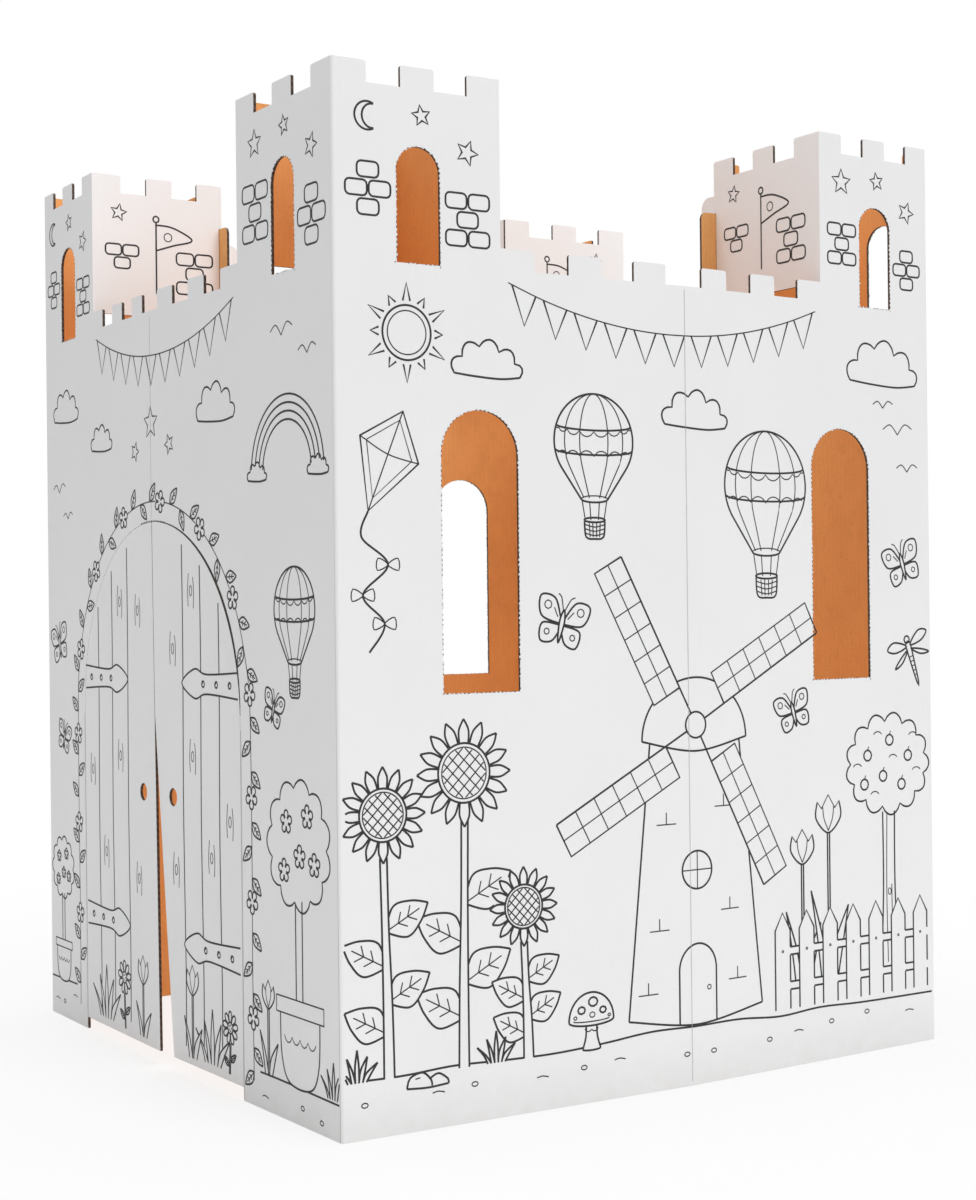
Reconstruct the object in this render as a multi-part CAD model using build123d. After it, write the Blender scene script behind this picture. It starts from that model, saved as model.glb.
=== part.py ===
"""A folded corrugated-board play castle: one sleeve with four corner towers and two door leaves.

Frame: +Z is up and the origin is the middle of the castle's footprint, on the floor. The door wall
faces -Y, the walls with the big windows face +X and -X, and the plain wall faces +Y. Millimetres.
"""

from build123d import *
from dataclasses import dataclass
import os

# Board and overall size
board = 3.0
castle_width = 724.0  # door wall, outer corner to outer corner, along X
castle_depth = 742.0  # windowed wall, outer corner to outer corner, along Y
castle_height = 978.0  # floor to the tower merlons
corner_radius = 3.0  # outside of the four upright folds

# Each wall has an upright crease, and stands out there by its bow
door_crease_x = -36.0
side_crease_y = 21.0
door_bow = 6.0
side_bow = 12.0

# Battlements
tower_rise = 159.0  # towers above the low walls
merlon_height = 20.0
merlon_round = 2.5
tower_units = 5  # merlon, gap, merlon, gap, merlon
wall_units = 5  # the same, from a tower to the wall's middle gap
door_middle_gap = 40.0
side_middle_gap = 46.0

# Windows
tower_window_width = 46.0
tower_window_height = 108.0
tower_window_drop = 22.0  # sill below the low walls' merlon tops
big_window_width = 84.0
big_window_height = 265.0
rear_tower_window_shift = 15.0  # the rear wall's tower windows stand nearer their corners
right_window_drop = 154.0  # top of the arch below the low walls' merlon tops
right_front_window_inset = 152.0  # middle of the window from the front corner
right_rear_window_inset = 136.0  # middle of the window from the rear corner
left_window_drop = 166.0
left_front_window_inset = 130.0
left_rear_window_inset = 152.0

# Door: two leaves under one arch, folded at the sides and split near the middle
door_half_width = 204.0
door_top = 574.0
leaf_floor_gap = 13.0
door_clearance = 0.4  # between a leaf and the wall
split_kerf = 1.0  # between the leaves, above the height where the right leaf pulls away
split_open_height = 370.0
split_lean = 9.0  # how far the left leaf's free edge leans to the right at the bottom
split_bottom_gap = 35.0
finger_hole_radius = 9.5
finger_hole_height = 285.0
finger_hole_inset = 34.0  # hole's middle from its leaf's free edge

# Tower locks: a tab on one inner flap goes through a slot in the other
ear_length = 22.0
ear_round = 12.0
tab_length = 21.0
tab_round = 8.0
tab_foot_rise = 19.0  # tab's foot above the low walls' merlon tops
lock_clearance = 0.5

margin = 60.0  # how far the cutting prisms run past the castle
half_width = castle_width / 2
half_depth = castle_depth / 2
low_wall_top = castle_height - tower_rise
tab_foot = low_wall_top + tab_foot_rise


@dataclass
class Tower:
    """A corner tower: its sides along X and Y, and its lock."""

    side_x: int  # +1 on the right, -1 on the left
    side_y: int  # +1 at the rear, -1 at the front
    width_x: float
    width_y: float
    ear_on: str  # the wall whose flap has the ear and the slot: "side" or "end"
    ear_drop: float  # top of the ear below the tower's merlons
    tab_drop: float  # top of the tab below the tower's merlons


towers = {
    "front_right": Tower(1, -1, 190.0, 177.0, "side", 53.0, 53.0),
    "rear_right": Tower(1, 1, 168.0, 162.0, "side", 38.0, 58.0),
    "front_left": Tower(-1, -1, 160.0, 158.0, "end", 68.0, 50.0),
    "rear_left": Tower(-1, 1, 165.0, 186.0, "end", 53.0, 53.0),
}


def arched(width, foot, top):
    """An upright outline with a half-round top, standing on its foot."""
    radius = width / 2
    straight = top - radius - foot
    body = Pos(0, foot + straight / 2) * Rectangle(width, straight)
    return body + Pos(0, top - radius) * Circle(radius)


def gaps(start, end, units):
    """The gaps of a battlement of equal units that starts and ends with a merlon."""
    unit = (end - start) / units
    return [(start + unit * n, start + unit * (n + 1)) for n in range(1, units, 2)]


def crown(outline, rounded, top, openings):
    """Adds a battlement's corners to an outline, from left to right, and its merlon corners to a list."""
    for left, right in openings:
        outline += [(left, top), (left, top - merlon_height), (right, top - merlon_height), (right, top)]
        rounded += [(left, top), (right, top)]


def soften(face, corners, radius):
    """Rounds the corners of a flat outline that are in the list."""
    picked = [
        vertex
        for vertex in face.vertices()
        if any(abs(vertex.X - x) < 0.01 and abs(vertex.Y - y) < 0.01 for x, y in corners)
    ]
    return fillet(picked, radius) if picked else face


def wall_outline(start, end, first_tower, last_tower, middle, middle_gap):
    """A wall seen from outside: tall at both towers and low between them, with its battlements."""
    inner_start = start + first_tower
    inner_end = end - last_tower
    outline = [(start - margin, 0), (start - margin, castle_height)]
    rounded = []
    crown(outline, rounded, castle_height, gaps(start, inner_start, tower_units))
    outline += [(inner_start, castle_height), (inner_start, low_wall_top)]
    gap_start = middle - middle_gap / 2
    gap_end = middle + middle_gap / 2
    low_gaps = gaps(inner_start, gap_start, wall_units)
    low_gaps += [(gap_start, gap_end)]
    low_gaps += gaps(gap_end, inner_end, wall_units)
    crown(outline, rounded, low_wall_top, low_gaps)
    outline += [(inner_end, low_wall_top), (inner_end, castle_height)]
    crown(outline, rounded, castle_height, gaps(inner_end, end, tower_units))
    outline += [(end + margin, castle_height), (end + margin, 0)]
    return soften(make_face(Polyline(*outline, close=True)), rounded, merlon_round)


def tower_windows(start, end, first_tower, last_tower, shift):
    """One arched window in each tower's face: in its middle, or nearer the corner by a shift."""
    sill = low_wall_top - tower_window_drop
    window = arched(tower_window_width, sill, sill + tower_window_height)
    first_middle = start + first_tower / 2 - shift
    last_middle = end - last_tower / 2 + shift
    return [Pos(first_middle, 0) * window, Pos(last_middle, 0) * window]


def side_wall(first, last, drop, front_inset, rear_inset):
    """The outline of a windowed wall, from the front (left) to the rear (right)."""
    face = wall_outline(
        -half_depth, half_depth, first.width_y, last.width_y, side_crease_y, side_middle_gap
    )
    arch_top = low_wall_top - drop
    big_window = arched(big_window_width, arch_top - big_window_height, arch_top)
    face -= tower_windows(-half_depth, half_depth, first.width_y, last.width_y, 0)
    face -= Pos(-half_depth + front_inset, 0) * big_window
    face -= Pos(half_depth - rear_inset, 0) * big_window
    return face


def end_wall(first, last, shift):
    """The outline of the door wall or the plain wall, from the left to the right, with no door yet."""
    face = wall_outline(
        -half_width, half_width, first.width_x, last.width_x, door_crease_x, door_middle_gap
    )
    face -= tower_windows(-half_width, half_width, first.width_x, last.width_x, shift)
    return face


def plan(inset):
    """The sleeve's outline on the floor, with the bowed creases, set in from the outer face."""
    x = half_width - inset
    y = half_depth - inset
    corners = [(-x, -y), (x, -y), (x, y), (-x, y)]
    outline = [
        corners[0],
        (door_crease_x, -y - door_bow),
        corners[1],
        (x + side_bow, side_crease_y),
        corners[2],
        (door_crease_x, y + door_bow),
        corners[3],
        (-x - side_bow, side_crease_y),
    ]
    face = make_face(Polyline(*outline, close=True))
    return soften(face, corners, max(corner_radius - inset, 0.3))


# Elevation planes: the outline's first axis is +Y or +X, and its second is +Z
side_plane = Plane(origin=(0, 0, 0), x_dir=(0, 1, 0), z_dir=(1, 0, 0))
end_plane = Plane(origin=(0, 0, 0), x_dir=(1, 0, 0), z_dir=(0, -1, 0))
reach = max(castle_width, castle_depth)


def prism(face, plane, sign):
    """An elevation outline run outwards from the castle's middle, on one side of it."""
    return extrude(plane * face, amount=sign * reach)


def plan_tube():
    """The blank sleeve: four walls of board, with no opening."""
    return extrude(plan(0), castle_height) - extrude(plan(board), castle_height)


def door_outline(clearance):
    """The door's arch, from below the floor to the top, grown by a clearance."""
    return Pos(door_crease_x, 0) * arched(
        2 * (door_half_width + clearance), -margin, door_top + clearance
    )


def split_x(height, side):
    """Where a leaf's free edge stands at a height: side -1 is the left leaf and +1 the right one."""
    fall = (door_top - height) / (door_top - leaf_floor_gap)
    edge = door_crease_x + split_lean * fall
    if side < 0:
        return edge
    opened = max(split_open_height - height, 0) / (split_open_height - leaf_floor_gap)
    return edge + split_kerf + (split_bottom_gap - split_kerf) * opened


def leaf(tube, side):
    """A door leaf, cut from the door wall, with its finger hole."""
    far = door_crease_x + side * (door_half_width + margin)
    heights = [door_top + margin, door_top, split_open_height, leaf_floor_gap]
    outline = [(split_x(min(height, door_top), side), height) for height in heights]
    outline += [(far, leaf_floor_gap), (far, door_top + margin)]
    face = make_face(Polyline(*outline, close=True)) & door_outline(0)
    hole_x = split_x(finger_hole_height, side) + side * finger_hole_inset
    face -= Pos(hole_x, finger_hole_height) * Circle(finger_hole_radius)
    return tube & prism(face, end_plane, 1)


def flap_outline(length, start, ear, ear_top):
    """A tower's inner flap, unfolded: from its fold to the tower's inner corner, with an ear past it."""
    outline = [(start, low_wall_top), (start, castle_height)]
    rounded = []
    crown(outline, rounded, castle_height, gaps(0, length, tower_units))
    outline += [(length, castle_height), (length, ear_top)]
    if ear:
        outline += [(length + ear, ear_top), (length + ear, low_wall_top)]
    else:
        outline += [(length, low_wall_top)]
    face = make_face(Polyline(*dict.fromkeys(outline), close=True))
    face = soften(face, rounded + [(length, castle_height)], merlon_round)
    return soften(face, [(length + ear, ear_top)], ear_round) if ear else face


def upright(face, x, y, along_x):
    """A flat outline stood on edge: from (x, y) along +X or +Y, its board towards the corner."""
    if along_x:
        plane = Plane(origin=(x, y, 0), x_dir=(1, 0, 0), z_dir=(0, -1, 0))
        return extrude(plane * face, amount=board)
    plane = Plane(origin=(x, y, 0), x_dir=(0, 1, 0), z_dir=(1, 0, 0))
    return extrude(plane * face, amount=-board)


def tower_flaps(eared, tabbed, eared_start, tabbed_start, ear_top, tab_top):
    """Both inner flaps of a tower whose outer corner is the origin and whose inside is +X, +Y.

    The eared flap runs along X at Y = tabbed, and the tabbed one along Y at X = eared.
    """
    ear_flap = upright(flap_outline(eared, eared_start, ear_length, ear_top), 0, tabbed, True)
    slot_height = tab_top - tab_foot
    slot = Pos(eared - board / 2, tabbed - board / 2, tab_foot + slot_height / 2) * Box(
        board + 2 * lock_clearance, 4 * board, slot_height + 2 * lock_clearance
    )
    stop = tabbed - board - lock_clearance
    tab_flap = upright(flap_outline(stop, tabbed_start, 0, low_wall_top), eared, 0, False)
    reach_out = tabbed + tab_length
    tab = Pos((stop + reach_out) / 2 - board, tab_foot + slot_height / 2) * Rectangle(
        reach_out - stop + 2 * board, slot_height
    )
    tab_corners = [(reach_out, tab_foot), (reach_out, tab_top)]
    tab_flap += upright(soften(tab.face(), tab_corners, tab_round), eared, 0, False)
    return [ear_flap - slot, tab_flap]


def place_tower(tower):
    """A tower's flaps, moved to its corner and turned to face its walls."""
    crease_x = half_width - tower.side_x * door_crease_x
    crease_y = half_depth - tower.side_y * side_crease_y
    end_out = door_bow * tower.width_x / crease_x
    side_out = side_bow * tower.width_y / crease_y
    from_side = board / 2 - side_out
    from_end = board / 2 - end_out
    ear_top = castle_height - tower.ear_drop
    tab_top = castle_height - tower.tab_drop
    if tower.ear_on == "side":
        flaps = tower_flaps(tower.width_x, tower.width_y, from_side, from_end, ear_top, tab_top)
    else:
        flaps = tower_flaps(tower.width_y, tower.width_x, from_end, from_side, ear_top, tab_top)
        flaps = [mirror(flap, about=Plane(origin=(0, 0, 0), z_dir=(1, -1, 0))) for flap in flaps]
    if tower.side_x > 0:
        flaps = [mirror(flap, about=Plane.YZ) for flap in flaps]
    if tower.side_y > 0:
        flaps = [mirror(flap, about=Plane.XZ) for flap in flaps]
    return [Pos(tower.side_x * half_width, tower.side_y * half_depth, 0) * flap for flap in flaps]


def castle_shell(tube):
    """The folded sleeve with its openings and its tower flaps, and the door cut out of it."""
    front_right = towers["front_right"]
    rear_right = towers["rear_right"]
    front_left = towers["front_left"]
    rear_left = towers["rear_left"]
    right = side_wall(
        front_right, rear_right, right_window_drop, right_front_window_inset, right_rear_window_inset
    )
    left = side_wall(
        front_left, rear_left, left_window_drop, left_front_window_inset, left_rear_window_inset
    )
    sides = prism(right, side_plane, 1) + prism(left, side_plane, -1)
    front = end_wall(front_left, front_right, 0) - door_outline(door_clearance)
    rear = end_wall(rear_left, rear_right, rear_tower_window_shift)
    ends = prism(front, end_plane, 1) + prism(rear, end_plane, -1)
    shell = tube & sides & ends
    for tower in towers.values():
        shell += place_tower(tower)
    return shell


def write(node, shape):
    """Writes a sub-part and prints its size."""
    shape.label = node
    export_step(shape, f"parts/{node}.step")
    size = shape.bounding_box().size
    print(f"{node}: {len(shape.solids())} solid, {size.X:.1f} x {size.Y:.1f} x {size.Z:.1f} mm")


os.makedirs("parts", exist_ok=True)
blank = plan_tube()
write("castle_shell", castle_shell(blank))
write("door_leaf_left", leaf(blank, -1))
write("door_leaf_right", leaf(blank, 1))
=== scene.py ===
# %% [markdown]
# # A cardboard castle, cell by cell
#
# The castle is a sleeve of corrugated board, white outside and bare brown kraft inside, die cut, folded
# and locked with tabs. The engineering model holds its true shape, so this script keeps those meshes
# and gives them their finish: the coating, the kraft, the cut edges, the perforations and the print.

# %% The frame
import bpy
import math
import random
from mathutils import Matrix, Vector


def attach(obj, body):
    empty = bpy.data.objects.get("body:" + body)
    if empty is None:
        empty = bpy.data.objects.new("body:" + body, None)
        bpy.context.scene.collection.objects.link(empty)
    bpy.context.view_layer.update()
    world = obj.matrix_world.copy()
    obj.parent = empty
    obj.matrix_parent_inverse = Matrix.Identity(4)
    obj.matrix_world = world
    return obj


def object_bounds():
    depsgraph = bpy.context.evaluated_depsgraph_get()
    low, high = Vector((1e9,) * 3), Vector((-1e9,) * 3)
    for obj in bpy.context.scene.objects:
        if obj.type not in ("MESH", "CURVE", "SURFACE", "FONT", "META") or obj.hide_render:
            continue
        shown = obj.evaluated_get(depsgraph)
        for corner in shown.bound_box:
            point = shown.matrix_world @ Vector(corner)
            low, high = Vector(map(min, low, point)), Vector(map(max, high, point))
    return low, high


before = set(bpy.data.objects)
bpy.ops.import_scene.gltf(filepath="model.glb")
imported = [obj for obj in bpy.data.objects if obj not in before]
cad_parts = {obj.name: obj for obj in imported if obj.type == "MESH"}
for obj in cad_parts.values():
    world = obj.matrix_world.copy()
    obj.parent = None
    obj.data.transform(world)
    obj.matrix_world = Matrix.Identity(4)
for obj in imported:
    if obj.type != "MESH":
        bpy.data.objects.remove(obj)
cad_box = [list(corner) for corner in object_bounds()]
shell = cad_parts["castle_shell"]
leaves = {"left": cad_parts["door_leaf_left"], "right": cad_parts["door_leaf_right"]}
print("frame:", sorted(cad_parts), "box", cad_box)

# %% [markdown]
# ## Sizes read from the frame
#
# The print has to follow the board, and the board isn't quite flat: each wall is creased once, upright,
# and stands out there by its bow. The castle's box gives the outermost points. The corners stand at the
# foot of the two straight halves of each wall, so they are named here once, with the crease.

# %% Sizes
MM = 0.001
BOARD = 3 * MM
BOX_X = cad_box[1][0]
BOX_Y = cad_box[1][1]
TOP = cad_box[1][2]
SIDE_BOW = 12 * MM
DOOR_BOW = 6 * MM
HALF_X = BOX_X - SIDE_BOW
HALF_Y = BOX_Y - DOOR_BOW
SIDE_CREASE = 21 * MM
DOOR_CREASE = -36 * MM
LOW_TOP = TOP - 159 * MM
DOOR_RADIUS = 204 * MM
DOOR_SPRING = 370 * MM
TOWER_WINDOW = 46 * MM
BIG_WINDOW = 84 * MM
# Each tower: the signs of its corner, then its width along X and along Y.
TOWERS = {
    "front_right": (1, -1, 0.190, 0.177),
    "rear_right": (1, 1, 0.168, 0.162),
    "front_left": (-1, -1, 0.160, 0.158),
    "rear_left": (-1, 1, 0.165, 0.186),
}
print(f"corners at {HALF_X:.3f}, {HALF_Y:.3f} m, low walls {LOW_TOP:.3f} m high")

# %% [markdown]
# ## Selecting and finishing by operator
#
# The operators act on whatever is selected, and the frame arrives selected, so every step starts clean.

# %% Operator helpers
def pick(*objects):
    """Selects only these objects, and makes the last one active."""
    bpy.ops.object.select_all(action="DESELECT")
    for one in objects:
        one.select_set(True)
    bpy.context.view_layer.objects.active = objects[-1]
    return objects[-1]


def settle(piece, body):
    """Applies a finished piece's place to its mesh and hangs it on its body."""
    pick(piece)
    bpy.ops.object.transform_apply(location=True, rotation=True, scale=True)
    bpy.ops.object.select_all(action="DESELECT")
    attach(piece, body)
    print(f"{piece.name}: {len(piece.data.polygons)} faces on {body}")
    return piece


print("helpers: pick and settle")

# %% [markdown]
# ## Shader maths as Python
#
# A material is a small graph. Wrapping a socket in a class lets the graph be written as sums.

# %% Shader kit
class Wire:
    """One output socket, with the operators that masks and mixes need."""

    def __init__(self, paint, socket):
        self.paint = paint
        self.socket = socket

    def math(self, operation, first, second=0.0):
        return self.paint.node("ShaderNodeMath", {"operation": operation}, {0: first, 1: second})

    def __add__(self, other):
        return self.math("ADD", self, other)

    def __sub__(self, other):
        return self.math("SUBTRACT", self, other)

    def __rsub__(self, other):
        return self.math("SUBTRACT", other, self)

    def __mul__(self, other):
        return self.math("MULTIPLY", self, other)

    def above(self, other):
        return self.math("GREATER_THAN", self, other)

    def sine(self):
        return self.math("SINE", self)

    def clear(self):
        """The same value, held between 0 and 1."""
        return self.paint.node("ShaderNodeMath", {"operation": "ADD", "use_clamp": True}, {0: self, 1: 0.0})


class Paint:
    """A material and its graph."""

    def __init__(self, name):
        self.material = bpy.data.materials.new(name)
        self.material.use_nodes = True
        self.tree = self.material.node_tree
        self.shader = self.tree.nodes["Principled BSDF"]

    def node(self, kind, settings=None, sockets=None, output=0):
        """Adds a node: its settings first, then the values or links of its sockets."""
        made = self.tree.nodes.new(kind)
        for key, value in (settings or {}).items():
            setattr(made, key, value)
        for key, value in (sockets or {}).items():
            self.feed(made.inputs[key], value)
        return Wire(self, made.outputs[output])

    def feed(self, socket, value):
        if isinstance(value, Wire):
            self.tree.links.new(value.socket, socket)
        else:
            socket.default_value = value

    def place(self):
        """Object coordinates, as a vector and as its three numbers."""
        spot = self.node("ShaderNodeTexCoord", output=3)
        parts = self.tree.nodes.new("ShaderNodeSeparateXYZ")
        self.tree.links.new(spot.socket, parts.inputs[0])
        return spot, [Wire(self, parts.outputs[n]) for n in range(3)]

    def noise(self, vector, scale, detail=3.0, rough=0.5):
        return self.node(
            "ShaderNodeTexNoise", {}, {"Vector": vector, "Scale": scale, "Detail": detail, "Roughness": rough}
        )

    def stretch(self, vector, x, y, z):
        return self.node(
            "ShaderNodeMapping", {"vector_type": "POINT"}, {"Vector": vector, "Scale": (x, y, z)}
        )

    def blend(self, factor, first, second):
        return self.node(
            "ShaderNodeMix", {"data_type": "RGBA"}, {0: factor, 6: first, 7: second}, output=2
        )

    def bump(self, height, strength, distance):
        return self.node(
            "ShaderNodeBump", {}, {"Height": height, "Strength": strength, "Distance": distance}
        )

    def finish(self, colour, roughness, normal=None, **fixed):
        self.feed(self.shader.inputs["Base Color"], colour)
        self.feed(self.shader.inputs["Roughness"], roughness)
        if normal is not None:
            self.feed(self.shader.inputs["Normal"], normal)
        for key, value in fixed.items():
            self.shader.inputs[key.replace("_", " ")].default_value = value
        return self.material


print("shader kit: Wire and Paint")

# %% [markdown]
# ## The camera
#
# A view across the near corner, from just under mid height, with a long lens so the walls stay calm.
# The camera's axes are set as a matrix, because it leans by half a degree.

# %% Camera
CAMERA_SPOT = Vector((1.935, -1.226, 0.483))
HEADING = math.radians(32.89)
PITCH = math.radians(0.12)
LEAN = math.radians(-0.61)
LENS = 59.65

look = Vector((-math.cos(HEADING) * math.cos(PITCH), math.sin(HEADING) * math.cos(PITCH), math.sin(PITCH)))
level = Vector((math.sin(HEADING), math.cos(HEADING), 0))
upward = level.cross(look)
across = math.cos(LEAN) * level + math.sin(LEAN) * upward
rise = math.cos(LEAN) * upward - math.sin(LEAN) * level
bpy.ops.object.select_all(action="DESELECT")
bpy.ops.object.camera_add(location=CAMERA_SPOT)
camera = bpy.context.object
turn = Matrix((across, rise, -look)).transposed()
camera.matrix_world = Matrix.Translation(CAMERA_SPOT) @ turn.to_4x4()
camera.data.sensor_fit = "AUTO"
camera.data.sensor_width = 36
camera.data.lens = LENS
camera.data.clip_end = 50
bpy.context.scene.camera = camera
print("camera at", tuple(round(v, 3) for v in CAMERA_SPOT), "lens", LENS)

# %% [markdown]
# ## Floor, sky and lamps
#
# The white sky lights everything softly, and one broad sun from the right makes the windowed wall the
# bright one. The floor and the sky both look white to the camera, and the floor keeps a faint shadow.

# %% Studio
scene = bpy.context.scene
scene.view_settings.view_transform = "Standard"

bpy.ops.mesh.primitive_plane_add(size=30, location=(0, 0, -0.0005))
floor = bpy.context.object
floor.name = "studio_floor"
floor_paint = Paint("studio_floor")
floor_paint.finish((0.93, 0.93, 0.93, 1), 0.9)
seen = floor_paint.node("ShaderNodeLightPath")
floor_spot = floor_paint.place()[0]
distance = floor_paint.node("ShaderNodeVectorMath", {"operation": "LENGTH"}, {0: floor_spot}, output=1)
fade = (distance * 0.9 - 0.35).clear() * 0.25 + 0.75
glow = floor_paint.node("ShaderNodeEmission", {}, {"Color": (1, 1, 1, 1), "Strength": 1.0})
mixed = floor_paint.node(
    "ShaderNodeMixShader",
    {},
    {0: seen * fade, 1: Wire(floor_paint, floor_paint.shader.outputs[0]), 2: glow},
)
floor_paint.feed(floor_paint.tree.nodes["Material Output"].inputs["Surface"], mixed)
floor.data.materials.append(floor_paint.material)

world = bpy.data.worlds.new("white_sky")
scene.world = world
world.use_nodes = True
sky = world.node_tree.nodes["Background"]
sky.inputs["Color"].default_value = (1, 1, 1, 1)
sky.inputs["Strength"].default_value = 0.57
bright = world.node_tree.nodes.new("ShaderNodeBackground")
bright.inputs["Color"].default_value = (1, 1, 1, 1)
bright.inputs["Strength"].default_value = 1.0
path = world.node_tree.nodes.new("ShaderNodeLightPath")
either = world.node_tree.nodes.new("ShaderNodeMixShader")
world.node_tree.links.new(path.outputs["Is Camera Ray"], either.inputs[0])
world.node_tree.links.new(sky.outputs[0], either.inputs[1])
world.node_tree.links.new(bright.outputs[0], either.inputs[2])
world.node_tree.links.new(either.outputs[0], world.node_tree.nodes["World Output"].inputs["Surface"])

bpy.ops.object.light_add(type="AREA", location=(0, 0, 2.4))
overhead = bpy.context.object
overhead.data.size = 1.6
overhead.data.energy = 32

SUN_FROM = Vector((1.0, 0.25, 0.45))
bpy.ops.object.light_add(type="SUN", location=SUN_FROM * 3)
sun = bpy.context.object
sun.data.energy = 0.78
sun.data.angle = math.radians(35)
sun.rotation_euler = SUN_FROM.to_track_quat("Z", "Y").to_euler()
print("studio: floor, sky", sky.inputs["Strength"].default_value, "sun", sun.data.energy)

# %% [markdown]
# ## White coated board
#
# The outside is a clay-coated white liner. It is matt, and the flutes behind it show as a very faint
# upright ripple, about 7 mm apart, under a cloudy unevenness in the coating.

# %% White board
FLUTE_PITCH = 7.2 * MM


def ripple(paint, parts):
    """The upright flutes, as a wave across the wall: it runs along X and Y together."""
    along = parts[0] + parts[1]
    return (along * (2 * math.pi / FLUTE_PITCH)).sine()


def white_board():
    paint = Paint("white_board")
    spot, parts = paint.place()
    clouds = paint.noise(spot, 9.0, 4.0)
    grain = paint.noise(spot, 900.0, 2.0)
    colour = paint.blend(clouds, (0.845, 0.845, 0.85, 1), (0.885, 0.885, 0.888, 1))
    foot = (1.0 - parts[2] * 22.0).clear() * paint.noise(spot, 60.0, 5.0)
    colour = paint.blend(foot * 0.22, colour, (0.42, 0.36, 0.29, 1))
    height = ripple(paint, parts) * 0.35 + grain * 0.5
    return paint.finish(colour, clouds * 0.12 + 0.52, paint.bump(height, 0.10, 0.0004))


WHITE = white_board()
print("finish:", WHITE.name, len(WHITE.node_tree.nodes), "nodes")

# %% [markdown]
# ## Kraft liner
#
# The inside is unbleached kraft: long fibres that mostly run one way, small dark flecks, and flutes
# that print through more strongly than outside.

# %% Kraft liner
def kraft_liner():
    paint = Paint("kraft_liner")
    spot, parts = paint.place()
    fibres = paint.noise(paint.stretch(spot, 500.0, 500.0, 40.0), 1.0, 4.0, 0.6)
    clouds = paint.noise(spot, 11.0, 4.0, 0.62)
    blotches = (paint.noise(spot, 46.0, 5.0, 0.68) - 0.50) * 3.2
    flecks = paint.noise(spot, 420.0, 1.0).above(0.70)
    bands = ripple(paint, parts) * 0.5 + 0.5
    colour = paint.blend(fibres, (0.80, 0.390, 0.125, 1), (0.94, 0.510, 0.190, 1))
    colour = paint.blend((clouds - 0.35).clear() * 1.1, colour, (0.70, 0.33, 0.105, 1))
    colour = paint.blend(blotches.clear() * 0.34, colour, (0.60, 0.270, 0.085, 1))
    colour = paint.blend(bands * 0.045, colour, (0.50, 0.21, 0.07, 1))
    colour = paint.blend(flecks * 0.30, colour, (0.38, 0.16, 0.06, 1))
    height = ripple(paint, parts) * 0.35 + fibres * 0.7 + blotches.clear() * 0.5
    return paint.finish(colour, fibres * 0.15 + 0.72, paint.bump(height, 0.22, 0.0005))


KRAFT = kraft_liner()
print("finish:", KRAFT.name, len(KRAFT.node_tree.nodes), "nodes")

# %% [markdown]
# ## Cut edges
#
# A die leaves a darker edge: the two liners with the hollow flutes between them, mostly in shadow.

# %% Cut edges
def cut_edge():
    paint = Paint("cut_edge")
    spot, parts = paint.place()
    bands = ((parts[0] + parts[1] + parts[2]) * (2 * math.pi / FLUTE_PITCH)).sine() * 0.5 + 0.5
    fuzz = paint.noise(spot, 700.0, 3.0)
    colour = paint.blend(bands * fuzz, (0.045, 0.036, 0.032, 1), (0.20, 0.13, 0.085, 1))
    return paint.finish(colour, 0.9, paint.bump(bands + fuzz, 0.5, 0.0006))


EDGE = cut_edge()
print("finish:", EDGE.name, len(EDGE.node_tree.nodes), "nodes")

# %% [markdown]
# ## Sorting the faces
#
# One sheet has three finishes, so each face is given the slot it shows. A ray sent inwards from a face
# of the sheet meets the other liner after one board's thickness, and from a cut edge it runs on. A
# wall's liner is white where it faces away from the castle's middle. The towers' inner flaps are turned
# round, so theirs is white where it faces the middle.

# %% Face finishes
FLAP_LIMIT = 0.30


def slot_of(board_mesh, face):
    """0 for white, 1 for kraft, 2 for a cut edge."""
    inward = -face.normal
    start = face.center + inward * 0.00002
    hit, spot = board_mesh.ray_cast(start, inward)[:2]
    if not hit or (spot - start).length > 1.4 * BOARD or abs(face.normal.z) > 0.5:
        return 2
    axis = 0 if abs(face.normal.x) > abs(face.normal.y) else 1
    outward = face.normal[axis] * face.center[axis] > 0
    is_wall = abs(face.center[axis]) > FLAP_LIMIT
    return 0 if outward == is_wall else 1


def dress(board_mesh):
    """Gives a board its three finishes, face by face."""
    board_mesh.data.materials.clear()
    for finish in (WHITE, KRAFT, EDGE):
        board_mesh.data.materials.append(finish)
    slots = [slot_of(board_mesh, face) for face in board_mesh.data.polygons]
    board_mesh.data.polygons.foreach_set("material_index", slots)
    print(board_mesh.name, "faces white, kraft, edge:", [slots.count(n) for n in range(3)])


bpy.context.view_layer.update()
for board_mesh in (shell, *leaves.values()):
    dress(board_mesh)

# %% [markdown]
# ## Where a drawing lies
#
# Each side of the board that carries print gets a small chart: it turns a distance along the sheet and
# a height into a place on the sheet, with the wall's bow, as seen by someone who faces that side.

# %% Charts
EDGE_GAP = 3.5 * MM


class Chart:
    """One printed side: its zero line on the floor, its reading direction and its outward direction."""

    def __init__(self, origin, reading, outward, half, crease=0.0, bow=0.0):
        self.origin = Vector(origin)
        self.reading = Vector(reading)
        self.outward = Vector(outward)
        self.half = half
        self.crease = crease
        self.bow = bow

    def holds(self, along):
        """Whether a place is clear of the sheet's two ends."""
        return abs(along) <= self.half - EDGE_GAP

    def place(self, along, height, lift):
        """A place on the bowed sheet, lifted off it."""
        span = self.half + self.crease if along < self.crease else self.half - self.crease
        out = lift + self.bow * max(0.0, 1 - abs(along - self.crease) / span)
        return self.origin + self.reading * along + self.outward * out + Vector((0, 0, height))


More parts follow.
